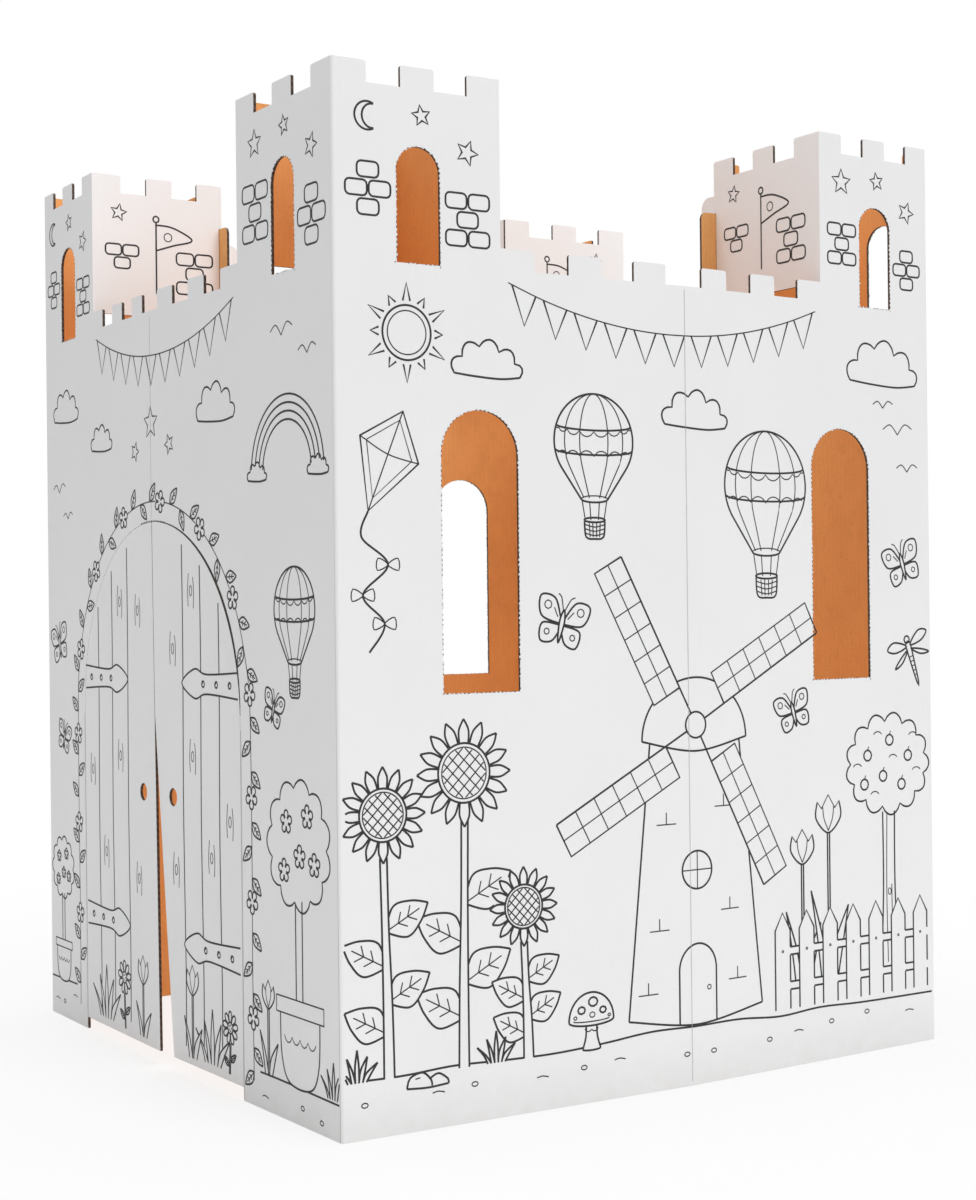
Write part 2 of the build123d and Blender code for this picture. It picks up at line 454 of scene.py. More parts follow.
CHARTS = {
    "right_wall": Chart((HALF_X, 0, 0), (0, 1, 0), (1, 0, 0), HALF_Y, SIDE_CREASE, SIDE_BOW),
    "left_wall": Chart((-HALF_X, 0, 0), (0, -1, 0), (-1, 0, 0), HALF_Y, -SIDE_CREASE, SIDE_BOW),
    "front_wall": Chart((0, -HALF_Y, 0), (1, 0, 0), (0, -1, 0), HALF_X, DOOR_CREASE, DOOR_BOW),
    "rear_wall": Chart((0, HALF_Y, 0), (-1, 0, 0), (0, 1, 0), HALF_X, -DOOR_CREASE, DOOR_BOW),
}
for tower, (side_x, side_y, width_x, width_y) in TOWERS.items():
    inner_x = side_x * (HALF_X - width_x)
    inner_y = side_y * (HALF_Y - width_y)
    middle_x = side_x * (HALF_X - width_x / 2)
    middle_y = side_y * (HALF_Y - width_y / 2)
    CHARTS[tower + "_flap_x"] = Chart((inner_x, middle_y, 0), (0, -side_x, 0), (-side_x, 0, 0), width_y / 2)
    CHARTS[tower + "_flap_y"] = Chart((middle_x, inner_y, 0), (side_y, 0, 0), (0, -side_y, 0), width_x / 2)
print(len(CHARTS), "charts")

# %% [markdown]
# ## A pen
#
# The print is line art in black ink: outlines a child would colour in. A sketch collects strokes, from
# the farthest thing to the nearest, and each thing rubs out what it hides. The strokes become curves
# with a square nib as their bevel, then one mesh, and are pressed flat onto the board, so the ink is a
# closed film that stands less than a fifth of a millimetre proud of the coating.

# %% Pen
BOLD = 1.0 * MM
FINE = 0.62 * MM
FILM = 0.06 * MM
INK_LIFT = 0.12 * MM
STEP = 3.2 * MM
RUB = 0.6 * MM


def between(a, b, t):
    """The point a part of the way from one point to another."""
    return (a[0] + (b[0] - a[0]) * t, a[1] + (b[1] - a[1]) * t)


def polar(u, v, reach, angle):
    """The point at a distance from a centre, at an angle in radians."""
    return (u + reach * math.cos(angle), v + reach * math.sin(angle))


def flow(a, b, c, d, t):
    """A value between b and c on a curve that runs through them, led by its neighbours a and d."""
    return 0.5 * (2 * b + (c - a) * t + (2 * a - 5 * b + 4 * c - d) * t**2 + (3 * b - a - 3 * c + d) * t**3)


def smooth(points, closed=False):
    """Runs a flowing line through the points."""
    count = len(points)
    if count < 3:
        return list(points)
    line = []
    for n in range(count if closed else count - 1):
        if closed:
            a, b, c, d = (points[(n + k) % count] for k in (-1, 0, 1, 2))
        else:
            a, b, c, d = (points[min(max(n + k, 0), count - 1)] for k in (-1, 0, 1, 2))
        pieces = max(2, min(16, round(math.dist(b, c) / STEP)))
        for k in range(pieces):
            line.append(tuple(flow(a[i], b[i], c[i], d[i], k / pieces) for i in (0, 1)))
    return line if closed else line + [points[-1]]


def turned(u, v, size, lean=0.0):
    """A motif's own axes: gives the function that takes its places to the chart."""
    turn = math.radians(lean)
    cos, sin = math.cos(turn), math.sin(turn)

    def at(x, y):
        return (u + size * (x * cos - y * sin), v + size * (x * sin + y * cos))

    return at


def around(u, v, wide, tall, start=0.0, end=360.0, count=None):
    """Points on an ellipse or part of one, in degrees."""
    length = math.pi * (wide + tall) * abs(end - start) / 360
    count = count or max(8, min(48, round(length / STEP)))
    points = []
    for n in range(count + 1):
        angle = math.radians(start + (end - start) * n / count)
        points.append((u + wide * math.cos(angle), v + tall * math.sin(angle)))
    return points


def inside(outline, u, v):
    """Whether a point lies in an outline: a level line from it crosses the outline an odd number of
    times."""
    hit = False
    for (a, b), (c, d) in zip(outline, outline[1:] + outline[:1]):
        if (b > v) != (d > v) and u < a + (c - a) * (v - b) / (d - b):
            hit = not hit
    return hit


def surviving(line, outline):
    """The parts of a line that lie outside an outline, each with its own points and its new ends."""
    steps = [(line[0], True)]
    for a, b in zip(line[:-1], line[1:]):
        count = max(1, math.ceil(math.dist(a, b) / RUB))
        steps += [(between(a, b, k / count), False) for k in range(1, count)]
        steps.append((b, True))
    runs = [[]]
    for point, corner in steps:
        if inside(outline, *point):
            runs.append([])
        else:
            runs[-1].append((point, corner))
    kept = []
    for run in runs:
        last = len(run) - 1
        if last > 0:
            kept.append([point for n, (point, corner) in enumerate(run) if corner or n in (0, last)])
    return kept


class Sketch:
    """Strokes for one printed side."""

    def __init__(self):
        self.strokes = []

    def draw(self, points, nib=BOLD, closed=False, flowing=True):
        line = smooth(points, closed) if flowing else list(points)
        self.strokes.append((line, nib, closed))

    def ring(self, u, v, wide, tall=None, nib=BOLD):
        self.draw(around(u, v, wide, tall or wide)[:-1], nib, True, False)

    def arc(self, u, v, wide, tall, start, end, nib=BOLD):
        self.draw(around(u, v, wide, tall, start, end), nib, False, False)

    def straight(self, *points, nib=BOLD, closed=False):
        self.draw(points, nib, closed, False)

    def solid(self, outline, closed=False):
        """A thing that hides what is behind it."""
        self.cover(outline)
        self.straight(*outline, closed=closed)

    def pair(self, first, second):
        """Two sides of a leaf or a stem, which hides what is behind it."""
        self.cover(first + second[::-1])
        self.straight(*first)
        self.straight(*second)

    def scallops(self, anchors, depth, nib=BOLD, closed=True):
        """Rounded bumps from each anchor to the next, bulging to the left of the way they run."""
        line = []
        pairs = len(anchors) if closed else len(anchors) - 1
        for n in range(pairs):
            a = anchors[n]
            b = anchors[(n + 1) % len(anchors)]
            length = math.dist(a, b)
            pieces = max(4, round(length / STEP))
            for k in range(pieces):
                out = depth * length * math.sin(math.pi * k / pieces) ** 0.7
                u, v = between(a, b, k / pieces)
                line.append((u - (b[1] - a[1]) / length * out, v + (b[0] - a[0]) / length * out))
        if not closed:
            line.append(anchors[-1])
        self.draw(line, nib, closed, False)

    def cover(self, outline):
        """Rubs out what lies inside an outline, where a nearer thing is about to be drawn."""
        left, right = min(u for u, v in outline), max(u for u, v in outline)
        low, high = min(v for u, v in outline), max(v for u, v in outline)
        kept = []
        for line, nib, closed in self.strokes:
            us = [u for u, v in line]
            vs = [v for u, v in line]
            if max(us) < left or min(us) > right or max(vs) < low or min(vs) > high:
                kept.append((line, nib, closed))
                continue
            whole = list(line) + (list(line[:1]) if closed else [])
            parts = surviving(whole, outline)
            if parts == [whole]:
                kept.append((line, nib, closed))
            else:
                kept += [(part, nib, False) for part in parts]
        self.strokes = kept

    def bent(self, line, crease, closed):
        """Adds a point wherever a stroke crosses the wall's crease, so that the film bends there too."""
        points = []
        ends = line[1:] + (line[:1] if closed else [])
        for a, b in zip(line, ends):
            points.append(a)
            if (a[0] - crease) * (b[0] - crease) < 0:
                points.append(between(a, b, (crease - a[0]) / (b[0] - a[0])))
        return points if closed else points + [line[-1]]

    def within(self, chart):
        """Cuts every stroke off where it would run past the sheet's edge."""
        kept = []
        for stroke, nib, closed in self.strokes:
            line = self.bent(stroke, chart.crease, closed)
            if all(chart.holds(u) for u, v in line):
                kept.append((line, nib, closed))
                continue
            run = []
            for u, v in line + (line[:1] if closed else []):
                if chart.holds(u):
                    run.append((u, v))
                    continue
                if len(run) > 1:
                    kept.append((run, nib, False))
                run = []
            if len(run) > 1:
                kept.append((run, nib, False))
        return kept

    def lay(self, name, chart, body, ink=None):
        """Turns the strokes into one film of ink on a chart, riding on a body."""
        curve = bpy.data.curves.new(name, "CURVE")
        curve.dimensions = "3D"
        curve.bevel_depth = 1.0
        curve.bevel_resolution = 0
        curve.use_fill_caps = True
        for line, nib, closed in self.within(chart):
            spline = curve.splines.new("POLY")
            spline.points.add(len(line) - 1)
            spline.points.foreach_set("co", [n for u, v in line for n in (u, v, 0, 1)])
            spline.points.foreach_set("radius", [nib] * len(line))
            spline.use_cyclic_u = closed
        piece = bpy.data.objects.new(name, curve)
        scene.collection.objects.link(piece)
        pick(piece)
        bpy.ops.object.convert(target="MESH")
        for corner in piece.data.vertices:
            press = max(-1.0, min(1.0, corner.co.z / FINE)) * FILM
            corner.co = chart.place(corner.co.x, corner.co.y, INK_LIFT + press)
        bpy.ops.object.mode_set(mode="EDIT")
        bpy.ops.mesh.select_all(action="SELECT")
        bpy.ops.mesh.normals_make_consistent(inside=False)
        bpy.ops.object.mode_set(mode="OBJECT")
        piece.data.materials.append(ink or INK)
        return settle(piece, body)


def black_ink():
    paint = Paint("black_ink")
    spot = paint.place()[0]
    wear = paint.noise(spot, 260.0, 3.0)
    colour = paint.blend(wear, (0.012, 0.012, 0.014, 1), (0.035, 0.035, 0.038, 1))
    return paint.finish(colour, wear * 0.2 + 0.45, paint.bump(wear, 0.05, 0.0002))


INK = black_ink()
print("ink ready, nibs", 2 * BOLD, 2 * FINE)

# %% [markdown]
# ## Things in the sky
#
# Each motif is a function of its place and size, so a wall's picture is a list of calls.

# %% Sky motifs
def cloud(s, u, v, w):
    at = turned(u, v, w)
    bumps = ((-0.50, -0.10), (-0.38, 0.12), (-0.12, 0.26), (0.18, 0.20), (0.42, 0.06), (0.50, -0.12))
    path = [at(x, y) for x, y in bumps]
    s.cover(path)
    s.scallops(path, 0.42, closed=False)
    s.draw([path[-1], at(0.20, -0.15), at(-0.20, -0.13), path[0]])


def bird(s, u, v, w):
    at = turned(u, v, w)
    s.draw([at(-0.50, 0.12), at(-0.25, 0.24), at(0, 0)], FINE)
    s.draw([at(0, 0), at(0.25, 0.26), at(0.50, 0.16)], FINE)


def sun_disc(s, u, v, r):
    """A disc with a rim and twelve rays, long and short in turn."""
    s.ring(u, v, r * 0.55)
    s.ring(u, v, r * 0.44, nib=FINE)
    for n in range(12):
        angle = math.radians(30 * n)
        base = [polar(u, v, 0.64 * r, angle + aside) for aside in (-0.13, 0.13)]
        s.straight(base[0], polar(u, v, r if n % 2 else 0.82 * r, angle), base[1])


def star(s, u, v, r, tilt=90.0):
    points = [polar(u, v, 0.45 * r if n % 2 else r, math.radians(tilt + 36 * n)) for n in range(10)]
    s.straight(*points, closed=True)


def moon(s, u, v, r):
    s.arc(u, v, r, r, 60, 300)
    s.arc(u + 0.38 * r, v, 0.80 * r, 0.86 * r, 82, 278)


def balloon(s, u, v, r):
    """A hot air balloon: envelope, gores, scalloped bands, ropes and a woven basket."""
    at = turned(u, v, r)
    envelope = around(u, v, r, r, -38, 218)
    s.draw(envelope + [at(-0.34, -1.22)])
    s.draw([envelope[0], at(0.34, -1.22)])
    for part in (0.36, 0.74):
        for side in (-1, 1):
            gore = around(u, v, side * part * r, r, 90, -30)
            s.draw(gore + [at(side * part * 0.36, -1.20)], FINE)
    s.arc(*at(0, -1.22), 0.34 * r, 0.07 * r, 180, 360)
    s.arc(*at(0, -1.22), 0.34 * r, 0.07 * r, 0, 180, FINE)
    for level in (0.30, -0.22):
        half = math.sqrt(1 - level * level)
        turns = [math.pi * n / 8 for n in range(9)]
        band = [at(half * math.cos(turn), level - 0.10 * math.sin(turn)) for turn in turns]
        s.scallops(band, -0.30 if level < 0 else 0.30, FINE, closed=False)
        s.draw([(a, b + 0.03 * r) for a, b in band])
    for side in (-1, -0.4, 0.4, 1):
        s.straight(at(side * 0.31, -1.27), at(side * 0.24, -1.66), nib=FINE)
    s.ring(*at(0, -1.66), 0.27 * r, 0.05 * r)
    s.draw([at(-0.26, -1.69), at(-0.22, -2.02), at(0, -2.06), at(0.22, -2.02), at(0.26, -1.69)])
    for row in (-1.76, -1.85, -1.94):
        s.draw([at(-0.24, row), at(0, row - 0.05), at(0.24, row)], FINE)
    for side in (-0.14, -0.05, 0.05, 0.14):
        s.straight(at(side, -1.73), at(side * 0.85, -2.02), nib=FINE)


def kite(s, u, v, w, lean, tail):
    """A kite with crossed spars and a tail of bows that follows the points given."""
    at = turned(u, v, w, lean)
    s.straight(at(0, 0.62), at(0.44, 0.10), at(0, -0.72), at(-0.44, 0.10), closed=True)
    s.straight(at(0, 0.62), at(0, -0.72), nib=FINE)
    s.draw([at(-0.44, 0.10), at(0, 0.04), at(0.44, 0.10)], FINE)
    s.straight(at(0, 0.50), at(0.34, 0.09), at(0, -0.55), at(-0.34, 0.09), nib=FINE, closed=True)
    s.draw([at(0, -0.72)] + tail)
    for spot in tail[1:-1]:
        bow = turned(*spot, w)
        for side in (-1, 1):
            s.draw([spot, bow(side * 0.14, 0.08), bow(side * 0.15, -0.07)], FINE, True)


def butterfly(s, u, v, w, lean=0.0):
    at = turned(u, v, w, lean)
    s.draw([at(0, 0.26), at(0.05, 0.05), at(0, -0.30), at(-0.05, 0.05)], closed=True)
    for side in (-1, 1):
        s.draw([at(side * 0.04, 0.12), at(side * 0.22, 0.42), at(side * 0.50, 0.40), at(side * 0.42, 0.08),
                at(side * 0.05, 0.02)])
        s.draw([at(side * 0.05, 0.0), at(side * 0.38, -0.04), at(side * 0.36, -0.32), at(side * 0.14, -0.30),
                at(side * 0.03, -0.12)])
        s.draw([at(side * 0.02, 0.26), at(side * 0.10, 0.46), at(side * 0.17, 0.50)], FINE)
        s.ring(*at(side * 0.33, 0.28), 0.07 * w, nib=FINE)
        s.ring(*at(side * 0.26, -0.16), 0.05 * w, nib=FINE)
        s.draw([at(side * 0.10, 0.12), at(side * 0.20, 0.26)], FINE)


def dragonfly(s, u, v, w, lean=0.0):
    at = turned(u, v, w, lean)
    s.ring(*at(0, 0.36), 0.07 * w)
    half = ((0.05, 0.30), (0.06, 0.12), (0.02, -0.5))
    s.draw([at(x, y) for x, y in half] + [at(-x, y) for x, y in half[::-1]], closed=True)
    for k in range(5):
        s.draw([at(-0.04, 0.02 - 0.09 * k), at(0.04, 0.02 - 0.09 * k)], FINE)
    for side in (-1, 1):
        s.draw([at(side * 0.05, 0.24), at(side * 0.34, 0.42), at(side * 0.55, 0.34), at(side * 0.36, 0.22)],
               closed=True)
        s.draw([at(side * 0.05, 0.16), at(side * 0.30, 0.06), at(side * 0.48, -0.06), at(side * 0.26, -0.02)],
               closed=True)


def bunting(s, start, end, drop, count):
    """A string of pennants between two points."""
    line = []
    for n in range(count + 1):
        t = n / count
        u, v = between(start, end, t)
        line.append((u, v - 4 * drop * t * (1 - t)))
    s.draw(line, FINE)
    for a, b in zip(line[:-1], line[1:]):
        p = between(a, b, 0.12)
        q = between(a, b, 0.88)
        u, v = between(p, q, 0.5)
        s.straight(p, (u, v - 0.9 * math.dist(a, b)), q)


print("sky: cloud, bird, sun, star, moon, balloon, kite, butterfly, dragonfly, bunting")

# %% [markdown]
# ## Things that grow
#
# Leaves, petals and blades are all the same idea: two flowing sides that meet in a point.

# %% Garden motifs
def blade(s, u, v, height, sway, width):
    """A long pointed leaf from the ground."""
    tip = (u + sway, v + height)
    left_side = smooth([(u - width / 2, v), (u - width * 0.55 + sway * 0.30, v + height * 0.5), tip])
    right_side = smooth([(u + width / 2, v), (u + width * 0.45 + sway * 0.42, v + height * 0.5), tip])
    s.pair(left_side, right_side)


def tuft(s, u, v, size):
    """Five blades of grass, the middle one the tallest."""
    for t in (-0.5, -0.25, 0, 0.25, 0.5):
        blade(s, u + t * size * 0.5, v, size * (1 - abs(t) * 0.9), t * size * 0.9, size * 0.13)


def leaf_shape(s, u, v, length, lean, fat=0.34):
    """A leaf with a midrib and veins."""
    at = turned(u, v, length, lean)
    s.pair(*(smooth([at(0, 0), at(0.35, y * 0.62), at(0.72, y * 0.42), at(1, 0)]) for y in (fat, -fat)))
    s.draw([at(0, 0), at(0.8, 0)], FINE)
    for k in (0.3, 0.52):
        s.straight(at(k, 0), at(k + 0.14, fat * 0.30), nib=FINE)
        s.straight(at(k, 0), at(k + 0.14, -fat * 0.30), nib=FINE)


def petals(s, u, v, inner, outer, count, start=0.0):
    """A ring of rounded petals."""
    half = 0.82 * math.pi / count
    shape = ((inner, -half), (0.78 * outer, -0.95 * half), (outer, -0.35 * half),
             (outer, 0.35 * half), (0.78 * outer, 0.95 * half), (inner, half))
    s.cover(around(u, v, 0.92 * outer, 0.92 * outer))
    for n in range(count):
        angle = math.radians(start) + 2 * math.pi * n / count
        s.draw([polar(u, v, reach, angle + aside) for reach, aside in shape])


def stalk(s, u, low, foot, lean, half):
    """A thin stem, as two lines from a flower's underside to the ground."""
    for side in (-half, half):
        s.draw([(u + side, low), (u + lean * 0.4 + side, (low + foot) / 2), (u + lean + side, foot)])


def daisy(s, u, v, r, foot, lean=0.0):
    low = v - 0.9 * r
    stalk(s, u, low, foot, lean, 1.2 * MM)
    leaf_shape(s, u + lean * 0.5 + 1.5 * MM, foot + 0.40 * (low - foot), 0.9 * r, 35)
    leaf_shape(s, u + lean * 0.6 - 1.5 * MM, foot + 0.25 * (low - foot), 0.9 * r, 145)
    petals(s, u, v, 0.42 * r, r, 9, 10)
    s.ring(u, v, 0.36 * r)
    for n in range(5):
        s.ring(*polar(u, v, 0.18 * r, math.radians(72 * n)), 0.03 * r, nib=FINE)


def tulip(s, u, v, size, foot, lean=0.0):
    at = turned(u, v, size)
    low = v - 0.40 * size
    stalk(s, u, low, foot, lean, 1.5 * MM)
    blade(s, u + lean - 0.14 * size, foot, 0.62 * (low - foot), -0.45 * size, 0.22 * size)
    blade(s, u + lean + 0.14 * size, foot, 0.50 * (low - foot), 0.50 * size, 0.22 * size)
    cup = smooth([at(-0.36, 0.30), at(-0.40, -0.10), at(0, -0.45), at(0.40, -0.10), at(0.36, 0.30)])
    s.solid(cup + [at(0.22, 0.14), at(0, 0.46), at(-0.22, 0.14)], closed=True)
    for side in (-1, 1):
        s.draw([at(side * 0.18, 0.18), at(side * 0.14, -0.10), at(0, -0.40)], FINE)


def sunflower(s, u, v, r, foot, lean=0.0):
    """A tall flower: broad leaves, a thick stem, pointed petals and a lattice of seeds."""
    low = v - 0.9 * r
    for k, slant in ((0.66, 28), (0.50, 152), (0.34, 28), (0.20, 152)):
        leaf_shape(s, u + lean * (1 - k), foot + k * (low - foot), 1.2 * r, slant, 0.52)
    sides = []
    for t in (-3.6 * MM, 3.6 * MM):
        upper = (u + lean * 0.35 + t, (2 * low + foot) / 3)
        lower = (u + lean * 0.8 + t * 1.3, (low + 2 * foot) / 3)
        sides.append(smooth([(u + t, low), upper, lower, (u + lean + t * 1.5, foot)]))
    s.pair(*sides)
    s.cover(around(u, v, 0.92 * r, 0.92 * r))
    count = 16
    for n in range(count):
        angle = 2 * math.pi * n / count
        for side in (-1, 1):
            shape = ((0.60, 0.17), (0.84, 0.13), (1.05, 0))
            s.draw([polar(u, v, reach * r, angle + side * aside) for reach, aside in shape])
    s.ring(u, v, 0.58 * r)
    s.ring(u, v, 0.50 * r, nib=FINE)
    for n in range(-2, 3):
        aside = n * 0.18 * r
        half = math.sqrt((0.48 * r) ** 2 - aside * aside)
        for slant in (45, 135):
            at = turned(u, v, 1, slant)
            s.straight(at(-half, aside), at(half, aside), nib=FINE)


def mushroom(s, u, v, w, tall=0.75):
    """A toadstool with a spotted cap, gills and a ringed stem."""
    cap = v + tall * w * 0.62
    at = turned(u, cap, w)
    dome = around(u, cap, 0.5 * w, 0.52 * w, 180, 0)
    s.cover([(u - 0.20 * w, v), at(-0.12, 0), at(0.12, 0), (u + 0.20 * w, v)])
    s.cover(dome)
    s.draw(dome)
    s.draw(around(u, cap, 0.5 * w, 0.10 * w, 180, 360))
    s.draw(around(*at(0, 0.01), 0.40 * w, 0.035 * w, 180, 360), FINE)
    spots = ((-0.22, 0.20, 0.08), (0.04, 0.34, 0.10), (0.26, 0.17, 0.07),
             (0.02, 0.10, 0.06), (-0.36, 0.07, 0.035), (0.40, 0.06, 0.03))
    for x, y, r in spots:
        s.ring(*at(x, y), r * w, r * w * 0.85, FINE if r < 0.07 else BOLD)
    top = cap - 0.085 * w
    for side in (-w, w):
        s.draw([(u + side * 0.12, top), (u + side * 0.13, (top + v) / 2), (u + side * 0.20, v)])
    s.draw(around(u, v, 0.20 * w, 0.03 * w, 180, 360))
    s.scallops([at(-0.15, -0.145), at(0, -0.175), at(0.15, -0.145)], -0.3, FINE, closed=False)


def tree(s, u, v, w, tall):
    """A round tree: scalloped crown, bark, a few apples and hints of leaves."""
    crown = v + tall - 0.46 * w
    base = crown - 0.40 * w
    middle = (base + v) / 2
    at = turned(u, crown, w)
    turns = [0.2 - 2 * math.pi * n / 13 for n in range(13)]
    outline = [at(0.44 * math.cos(turn), 0.36 * math.sin(turn)) for turn in turns]
    s.cover([(u - 0.12 * w, v), (u - 0.07 * w, base), (u + 0.07 * w, base), (u + 0.12 * w, v)])
    s.cover(outline)
    s.scallops(outline, 0.40)
    for side in (-w, w):
        s.draw([(u + side * 0.07, base), (u + side * 0.07, middle), (u + side * 0.11, v + 0.04 * w),
                (u + side * 0.19, v)])
    s.draw([(u - 0.02 * w, base - 0.02 * w), (u - 0.03 * w, middle), (u - 0.02 * w, v + 0.08 * w)], FINE)
    s.draw([(u + 0.03 * w, middle + 0.06 * w), (u + 0.035 * w, v + 0.12 * w)], FINE)
    s.ring(u + 0.005 * w, middle, 0.018 * w, 0.028 * w, FINE)
    for x, y in ((-0.24, 0.08), (0.02, 0.20), (0.24, 0.06), (-0.06, -0.10), (0.16, -0.18), (-0.28, -0.16)):
        s.ring(*at(x, y), 0.045 * w)
        s.straight(at(x, y + 0.045), at(x + 0.015, y + 0.075), nib=FINE)
    for x, y in ((-0.12, 0.24), (0.30, 0.22), (-0.36, -0.02), (0.06, 0.04), (0.34, -0.08), (-0.16, -0.26)):
        s.arc(*at(x, y), 0.05 * w, 0.035 * w, 20, 160, FINE)


def stones(s, u, v, w):
    """Two pebbles on the ground, one in front of the other."""
    at = turned(u, v, w)
    s.cover([at(-0.5, 0), at(-0.42, 0.22), at(0, 0.26), at(0.48, 0.10)])
    s.draw([at(-0.5, 0), at(-0.42, 0.22), at(-0.12, 0.30), at(0.08, 0.12), at(0.10, 0)])
    s.draw([at(0.06, 0.16), at(0.26, 0.24), at(0.48, 0.10), at(0.5, 0)])
    s.draw([at(-0.5, 0), at(0, -0.03), at(0.5, 0)])
    s.draw([at(-0.30, 0.18), at(-0.18, 0.20)], FINE)


def ground(s, start, end, v, sway, seed):
    """A rolling ground line with pebbles and short marks under it."""
    dice = random.Random(seed)
    count = max(3, round((end - start) / 0.055))
    s.draw([(start + (end - start) * n / count, v + dice.uniform(-sway, sway)) for n in range(count + 1)])
    for n in range(count):
        x = start + (end - start) * (n + dice.uniform(0.2, 0.8)) / count
        y = v - dice.uniform(12, 26) * MM
        if y < 6 * MM:
            continue
        if dice.random() < 0.5:
            s.draw([(x - 6 * MM, y), (x, y + 1.2 * MM), (x + 7 * MM, y - 0.5 * MM)], FINE)
        else:
            s.ring(x, y, 3.4 * MM, 2.2 * MM, FINE)


def windmill(s, u, v, w):
    """A tapering mill with a domed cap, a door, a window and four lattice sails."""
    at = turned(u, v, w)
    s.cover([at(-0.36, 0), at(-0.24, 1.15), at(0.24, 1.15), at(0.36, 0), at(0, -0.05)])
    for side in (-1, 1):
        s.straight(at(side * 0.36, 0), at(side * 0.24, 1.15))
    s.draw([at(-0.36, 0), at(0, -0.05), at(0.36, 0)])
    s.straight(at(-0.10, -0.04), *around(*at(0, 0.18), 0.10 * w, 0.11 * w, 180, 0), at(0.10, -0.04))
    s.ring(*at(0.06, 0.10), 0.010 * w, nib=FINE)
    s.ring(*at(0, 0.60), 0.08 * w)
    s.straight(at(-0.08, 0.60), at(0.08, 0.60), nib=FINE)
    s.straight(at(0, 0.52), at(0, 0.68), nib=FINE)
    for x, y in ((-0.20, 0.36), (0.18, 0.42), (-0.16, 0.80), (0.15, 0.86), (0.22, 0.12), (-0.26, 0.10)):
        s.straight(at(x - 0.05, y), at(x + 0.05, y), nib=FINE)
        s.straight(at(x, y), at(x, y + 0.05), nib=FINE)
    dome = around(*at(0, 1.15), 0.28 * w, 0.26 * w, 180, 0)
    eave = smooth([at(0.28, 1.15), at(0, 1.10), at(-0.28, 1.15)])
    s.cover(dome + eave)
    s.straight(*dome)
    s.straight(*eave)
    hub = at(0, 1.21)
    for n in range(4):
        sail = turned(*hub, w, 90 * n + 28)
        lattice = [sail(0.18, 0), sail(0.18, 0.15), sail(0.80, 0.15), sail(0.80, 0)]
        s.cover(lattice)
        s.straight(sail(0.04, 0), sail(0.80, 0))
        s.straight(*lattice)
        for k in range(1, 6):
            s.straight(sail(0.18 + 0.103 * k, 0), sail(0.18 + 0.103 * k, 0.15), nib=FINE)
        s.straight(sail(0.18, 0.075), sail(0.80, 0.075), nib=FINE)
    s.cover(around(*hub, 0.055 * w, 0.055 * w))
    s.ring(*hub, 0.055 * w)


def pot_and_rim(s, pot, rim):
    """A pot in front of what grows in it."""
    s.cover(pot)
    s.cover(rim)
    s.straight(*pot)
    s.straight(*rim, closed=True)


def flower_pot(s, u, v, w):
    """A tapered pot with a rim, full of flowers."""
    at = turned(u, v, w)
    soil = v + 0.60 * w
    daisy(s, *at(-0.30, 1.10), 0.17 * w, soil, 0.10 * w)
    tulip(s, *at(0.30, 1.12), 0.26 * w, soil, -0.08 * w)
    daisy(s, *at(0.02, 1.36), 0.19 * w, soil)
    pot = [at(-0.36, 0.52), at(-0.25, 0), at(0.25, 0), at(0.36, 0.52)]
    pot_and_rim(s, pot, [at(-0.42, 0.52), at(0.42, 0.52), at(0.42, 0.66), at(-0.42, 0.66)])
    s.scallops([at(-0.33 + 0.11 * n, 0.40) for n in range(7)], -0.4, FINE, closed=False)


print("garden: tuft, daisy, tulip, sunflower, mushroom, tree, stones, ground, windmill, flower pot")

# %% [markdown]
# ## The picture on each side
#
# Sky at the top, a garden at the foot, and small things between, kept clear of the windows and of the
# door's cut. Heights and places are in metres along each chart, and what stands farthest away is drawn
# first. A castle also wants stones, flags and a fence, so these motifs come before the pictures.

# %% Motifs for walls and towers
def bricks(s, u, v, w, rows):
    """A patch of rounded stones, as if the rest of the masonry were left to be imagined."""
    tall = 0.24 * w
    wide = 0.34 * w
    curl = 0.26 * tall
    half_u = 0.46 * wide - curl
    half_v = 0.42 * tall - curl
    for row, count in enumerate(rows):
        mid_v = v + (row - len(rows) / 2) * tall + tall / 2
        for n in range(count):
            mid_u = u + (n - count / 2) * wide + wide / 2
            line = []
            for turn, side_u, side_v in ((0, 1, 1), (90, -1, 1), (180, -1, -1), (270, 1, -1)):
                corner = (mid_u + side_u * half_u, mid_v + side_v * half_v)
                line += around(*corner, curl, curl, turn, turn + 90, count=3)
            s.straight(*line, closed=True)


def flag(s, u, v, tall):
    """A pennant on a pole with a ball on top."""
    at = turned(u, v, tall)
    s.straight(at(0, 0), at(0, 1))
    s.ring(*at(0, 1.05), 0.045 * tall)
    s.draw([at(0, 0.97), at(0.26, 0.95), at(0.55, 0.80), at(0.26, 0.70), at(0, 0.61)])
    s.ring(*at(0.18, 0.81), 0.06 * tall, nib=FINE)


def fence(s, start, end, v, tall):
    """Pointed pickets on two rails."""
    count = max(3, round((end - start) / 0.036))
    step = (end - start) / count
    wide = 0.62 * step
    for n in range(count):
        x = start + n * step + (step - wide) / 2
        neck = v + 0.82 * tall
        s.solid([(x, v), (x, neck), (x + wide / 2, v + tall), (x + wide, neck), (x + wide, v)])
        for rail in (0.24, 0.60):
            low = v + (rail - 0.04) * tall
            high = v + (rail + 0.04) * tall
            s.cover([(x + wide, low), (x + step, low), (x + step, high), (x + wide, high)])
            s.straight((x + wide, low), (x + step, low))
            s.straight((x + wide, high), (x + step, high))
        s.ring(x + wide / 2, v + 0.60 * tall, 1.1 * MM, nib=FINE)


